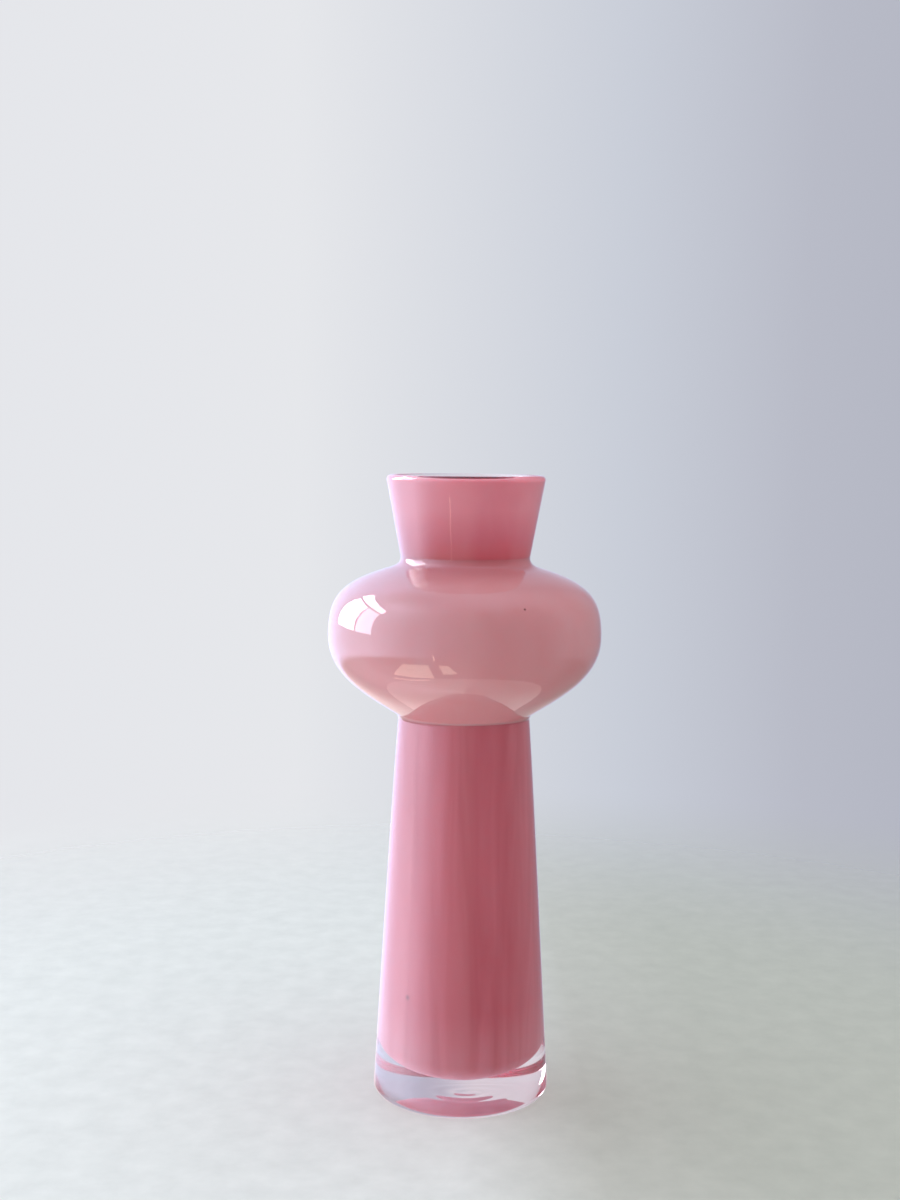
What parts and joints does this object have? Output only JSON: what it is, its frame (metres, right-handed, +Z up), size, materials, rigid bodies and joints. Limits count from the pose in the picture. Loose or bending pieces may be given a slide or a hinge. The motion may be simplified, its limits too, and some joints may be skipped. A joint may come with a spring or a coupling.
{
  "type": "vase",
  "caption": "Hand blown cased glass vase: a flared pink column on a thick clear foot, a squat bulb above it and a waisted neck with a clear rounded lip.",
  "frame": {"origin": "on the vase's axis, at the plane the foot stands on", "axes": "+Z up along the axis of revolution, out through the mouth; X and Y across the vase, with no preferred direction"},
  "size_m": [0.136, 0.136, 0.312],
  "materials": {
    "clear_casing": "clear, fire polished",
    "pink_column": "opaline pink, semi-translucent",
    "clear_skin": "clear, fire polished",
    "pink_bulb": "opaline pink, blown thin and paler",
    "pink_neck": "opaline pink, deeper than the bulb",
    "clear_bead": "clear with a faint pink cast, glossy",
    "clear_lip": "clear, fire polished"
  },
  "bodies": {
    "root": {"column_casing": "clear_casing", "column_lining": "pink_column", "bulb_casing": "clear_skin", "bulb_lining": "pink_bulb", "neck_casing": "clear_skin", "neck_lining": "pink_neck", "join_bead": "clear_bead", "lip": "clear_lip"}
  },
  "joints": []
}
